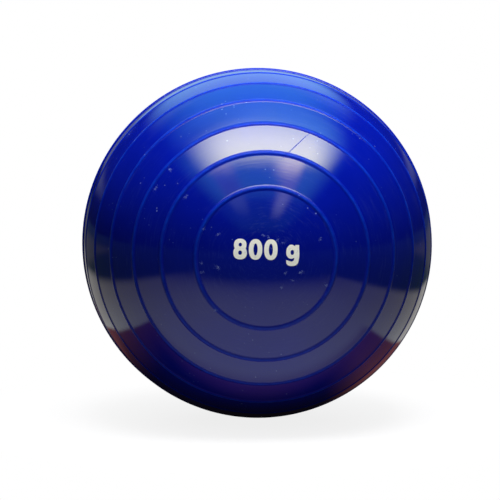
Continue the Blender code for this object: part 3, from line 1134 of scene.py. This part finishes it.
# The glowing cards round the ball. Each has its name, four places across it and four along it, in metres,
# where it starts, is full, is still full, and ends, and then its height, colour and strength. Some light dull
# surfaces only and the others show in the gloss only, so that each kind can follow the photograph.
LIGHT_CARDS = (
    ("softbox_light", (-0.11, -0.05, 0.10, 0.16), (-0.215, -0.155, -0.01, 0.05), 0.35, "#FBFDFF", 28.8),
    ("sheet_light", (-0.10, -0.03, 0.03, 0.10), (-0.30, -0.18, -0.06, -0.03), TABLE_LEVEL, "#FBFDFF", 0.9),
    ("rear_light", (-0.35, -0.20, 0.20, 0.35), (0.25, 0.32, 0.50, 0.60), 0.12, "#FBFDFF", 5.0),
)
GLOSS_CARDS = (
    # Overhead. Where cards overlap, the lowest is seen
    ("softbox_front", (-0.53, -0.14, 0.30, 0.62), (-0.495, -0.30, -0.23, 0.064), 0.61, "#FFFFBE", 16.4),
    ("lamp_right", (0.06, 0.22, 0.28, 0.37), (-0.56, -0.44, -0.38, -0.28), 0.615, "#FFEFC4", 9.5),
    ("lamp_left", (-0.48, -0.38, -0.28, -0.16), (-0.55, -0.44, -0.38, -0.28), 0.615, "#FFF4D8", 4.0),
    ("strip_right", (0.12, 0.24, 0.28, 0.40), (-1.85, -0.95, -0.60, -0.40), 0.62, "#F4F8FF", 2.0),
    ("strip_left", (-0.46, -0.36, -0.26, -0.14), (-1.65, -0.85, -0.60, -0.45), 0.62, "#C8F0FF", 1.0),
    ("softbox_spill", (-0.72, -0.38, 0.42, 0.74), (-1.10, -0.55, -0.25, -0.05), 0.63, "#82F4FF", 1.5),
    ("room_front", (-0.80, -0.45, 0.50, 0.85), (-3.60, -2.00, -1.00, -0.60), 0.635, "#8BF4FF", 0.22),
    ("roof_near", (-0.66, 0.12, 0.32, 0.68), (-0.35, -0.12, 0.02, 0.24), 0.64, "#90F4FF", 3.2),
    ("roof_far", (-0.72, -0.14, 0.20, 0.62), (0.42, 0.60, 1.10, 1.50), 0.65, "#BCF4FF", 1.40),
    ("roof", (-0.66, -0.12, 0.14, 0.60), (0.04, 0.14, 1.10, 1.50), 0.66, "#7AF4FF", 1.42),
    ("back_wall", (-0.95, -0.70, 0.50, 0.80), (1.60, 2.00, 2.70, 4.20), 0.65, "#C6F4FF", 0.95),
    ("back_far", (-4.0, -2.0, 2.0, 4.0), (2.60, 4.00, 20.0, 30.0), 0.66, "#E8F4FF", 0.20),
    # On the table, each over the ones before it
    # These glow at set strengths and are not lit: a painted reflection of the lit table, sheets and mat
    ("table", (-11.0, -10.5, 10.5, 11.0), (-11.0, -10.5, 10.5, 11.0), TABLE_LEVEL, "#B1E4FF", 0.07),
    ("table_far", (-1.0, -0.40, 0.40, 1.0), (0.20, 0.35, 8.0, 10.0), FAR_LEVEL, "#F4F8FF", 0.13),
    ("sheet", (-0.20, -0.15, 0.13, 0.155), (-0.19, -0.07, 0.25, 0.75), SHEET_LEVEL, "#FFFCF6", 0.54),
    ("sheet_near", (-0.16, -0.03, 0.02, 0.13), (-0.20, -0.05, 0.02, 0.10), GLARE_LEVEL, "#FBFFFF", 0.86),
    ("mat", (-0.077, -0.072, 0.064, 0.069), (-0.040, -0.029, 0.40, 0.50), MAT_LEVEL, "#8E5453", 0.85),
    # The last card is dark: a painted shadow of the ball on the table, as the gloss sees it
    ("painted_contact_shadow", (-0.085, -0.035, 0.020, 0.048), (-0.034, -0.022, 0.03, 0.06), SHADE_LEVEL, "#100C0C", 1.0),
)
WHITE = (*linear("#FFFFFF"), 1)
TABLE_COLOUR = "#241A18"
PAPER_COLOUR = "#E8E6EA"
FLOOR_RADIUS = 12.0
FLOOR_SIDES = 96
SHADE_NEAR = 0.01  # from the ball's middle, where the white floor starts to hide its shadow
SHADE_FAR = 0.09  # and where none of it is left
SHADE_SHARE = 0.16  # how much of the shadow shows under the ball
ROOM_COLOUR = "#C0CCE8"
ROOM_STRENGTH = 0.016
AIM_RIGHT = -2.15 * MM  # of the camera's aim, from the ball's centre
AIM_UP = -1.90 * MM


def faded(tree, across, along):
    """1 where a card is full, and fading to 0 towards its edges."""
    place = add(tree, "ShaderNodeTexCoord").outputs["Object"]
    axes = add(tree, "ShaderNodeSeparateXYZ", {0: place}).outputs
    share = 1.0
    for axis, (start, full, still_full, end) in zip(axes, (across, along)):
        for outer, inner in ((start, full), (end, still_full)):
            edge = add(
                tree,
                MAP_RANGE,
                {"Value": axis, "From Min": outer, "From Max": inner},
                interpolation_type="SMOOTHSTEP",
            )
            share = add(tree, MATH, {0: share, 1: edge}, operation="MULTIPLY")
    return share


def stage_material(name):
    """A new material for the stage, with its empty node tree."""
    material = bpy.data.materials.new(name)
    material.use_nodes = True
    material.node_tree.nodes.clear()
    return material, material.node_tree


def stand(name, mesh, material):
    """Puts a piece of the stage into the scene."""
    mesh.materials.append(material)
    piece = bpy.data.objects.new(name, mesh)
    bpy.context.scene.collection.objects.link(piece)
    return piece


def add_card(name, across, along, height, colour, strength, in_gloss):
    """A glowing card with soft edges, which either shows in the gloss or lights dull surfaces."""
    material, tree = stage_material(name)
    glow = add(tree, "ShaderNodeEmission", {"Color": (*linear(colour), 1), "Strength": strength})
    clear = add(tree, "ShaderNodeBsdfTransparent")
    mixed = add(tree, "ShaderNodeMixShader", {0: faded(tree, across, along), 1: clear, 2: glow})
    add(tree, "ShaderNodeOutputMaterial", {"Surface": mixed})
    left, right = across[0], across[3]
    near, far = along[0], along[3]
    mesh = bpy.data.meshes.new(name)
    corners = [(left, near, height), (right, near, height), (right, far, height), (left, far, height)]
    mesh.from_pydata(corners, [], [(0, 1, 2, 3)])
    card = stand(name, mesh, material)
    card.visible_camera = False
    card.visible_shadow = False
    card.visible_glossy = in_gloss
    card.visible_diffuse = not in_gloss
    if in_gloss:
        # Gloss meets these cards on its own, so the light samples are left to the cards for dull surfaces
        material.cycles.emission_sampling = "NONE"


def add_floor():
    """The floor. The camera sees white paper with the ball's shadow, and the ball sees a dark table."""
    material, tree = stage_material("White paper on a dark table")
    table = add(tree, "ShaderNodeBsdfDiffuse", {"Color": (*linear(TABLE_COLOUR), 1)})
    paper = add(tree, "ShaderNodeBsdfDiffuse", {"Color": (*linear(PAPER_COLOUR), 1)})
    white = add(tree, "ShaderNodeEmission", {"Color": WHITE, "Strength": 1.0})
    place = add(tree, "ShaderNodeTexCoord").outputs["Object"]
    away = add(tree, VECTOR_MATH, {0: place}, operation="LENGTH").outputs["Value"]
    shade = add(
        tree,
        MAP_RANGE,
        {"Value": away, "From Min": SHADE_FAR, "From Max": SHADE_NEAR, "To Max": SHADE_SHARE},
        interpolation_type="SMOOTHSTEP",
    )
    seen = add(tree, "ShaderNodeMixShader", {0: shade, 1: white, 2: paper})
    by_camera = add(tree, "ShaderNodeLightPath").outputs["Is Camera Ray"]
    mixed = add(tree, "ShaderNodeMixShader", {0: by_camera, 1: table, 2: seen})
    add(tree, "ShaderNodeOutputMaterial", {"Surface": mixed})
    material.cycles.emission_sampling = "NONE"
    mesh = bpy.data.meshes.new("floor")
    shape = bmesh.new()
    bmesh.ops.create_circle(shape, cap_ends=True, segments=FLOOR_SIDES, radius=FLOOR_RADIUS)
    shape.to_mesh(mesh)
    shape.free()
    floor = stand("floor", mesh, material)
    floor.location.z = FLOOR_HEIGHT


def build_world():
    """White where the camera looks past the floor, and a dim even room for every other ray."""
    world = bpy.data.worlds.new("Studio room")
    bpy.context.scene.world = world
    world.use_nodes = True
    tree = world.node_tree
    tree.nodes.clear()
    room_colour = (*linear(ROOM_COLOUR), 1)
    room = add(tree, "ShaderNodeBackground", {"Color": room_colour, "Strength": ROOM_STRENGTH})
    white = add(tree, "ShaderNodeBackground", {"Color": WHITE, "Strength": 1.0})
    seen = add(tree, "ShaderNodeLightPath").outputs["Is Camera Ray"]
    mixed = add(tree, "ShaderNodeMixShader", {0: seen, 1: room, 2: white})
    add(tree, "ShaderNodeOutputWorld", {"Surface": mixed})


def build_camera(stage):
    """The camera at the photograph's angle, aimed a little left of and under the ball's centre."""
    lens = bpy.data.cameras.new("camera")
    lens.lens = stage.lens
    lens.sensor_width = 36.0
    camera = bpy.data.objects.new("camera", lens)
    bpy.context.scene.collection.objects.link(camera)
    turn = stage.azimuth
    tilt = math.cos(stage.elevation)
    back = Vector((math.sin(turn) * tilt, -math.cos(turn) * tilt, math.sin(stage.elevation)))
    right = Vector((math.cos(turn), math.sin(turn), 0.0))
    up = back.cross(right)
    aim = right * AIM_RIGHT + up * AIM_UP
    camera.location = back * stage.distance
    camera.rotation_euler = (camera.location - aim).to_track_quat("Z", "Y").to_euler()
    bpy.context.scene.camera = camera


class THROWING_BALL_OT_stage(bpy.types.Operator):
    """Builds the floor, the lights and the camera"""

    bl_idname = "throwing_ball.stage"
    bl_label = "Stage"

    def execute(self, context):
        stage = context.scene.ball_stage
        for card in LIGHT_CARDS:
            add_card(*card, in_gloss=False)
        for card in GLOSS_CARDS:
            add_card(*card, in_gloss=True)
        add_floor()
        build_world()
        build_camera(stage)
        context.scene.view_settings.view_transform = "Standard"
        return {"FINISHED"}


class THROWING_BALL_PT_panel(bpy.types.Panel):
    """The steps that build the ball"""

    bl_label = "Throwing ball"
    bl_idname = "THROWING_BALL_PT_panel"
    bl_space_type = "VIEW_3D"
    bl_region_type = "UI"
    bl_category = "Throwing ball"

    def draw(self, context):
        column = self.layout.column()
        for step in STEPS:
            column.operator(step.bl_idname)


STEPS = (
    THROWING_BALL_OT_front_shell,
    THROWING_BALL_OT_rear_shell,
    THROWING_BALL_OT_fill_plug,
    THROWING_BALL_OT_sand_fill,
    THROWING_BALL_OT_weight_mark,
    THROWING_BALL_OT_stage,
)
SETTINGS = {
    "ball_shell": ShellSettings,
    "ball_plug": PlugSettings,
    "ball_mark": MarkSettings,
    "ball_finish": FinishSettings,
    "ball_stage": StageSettings,
}


def register():
    for group in SETTINGS.values():
        bpy.utils.register_class(group)
    for name, group in SETTINGS.items():
        setattr(bpy.types.Scene, name, PointerProperty(type=group))
    for step in (*STEPS, THROWING_BALL_PT_panel):
        bpy.utils.register_class(step)


def unregister():
    for step in (THROWING_BALL_PT_panel, *reversed(STEPS)):
        bpy.utils.unregister_class(step)
    for name, group in SETTINGS.items():
        delattr(bpy.types.Scene, name)
        bpy.utils.unregister_class(group)


def main():
    register()
    bpy.ops.throwing_ball.front_shell()
    bpy.ops.throwing_ball.rear_shell()
    bpy.ops.throwing_ball.fill_plug()
    bpy.ops.throwing_ball.sand_fill()
    bpy.ops.throwing_ball.weight_mark()
    bpy.ops.throwing_ball.stage()


if __name__ == "__main__":
    main()
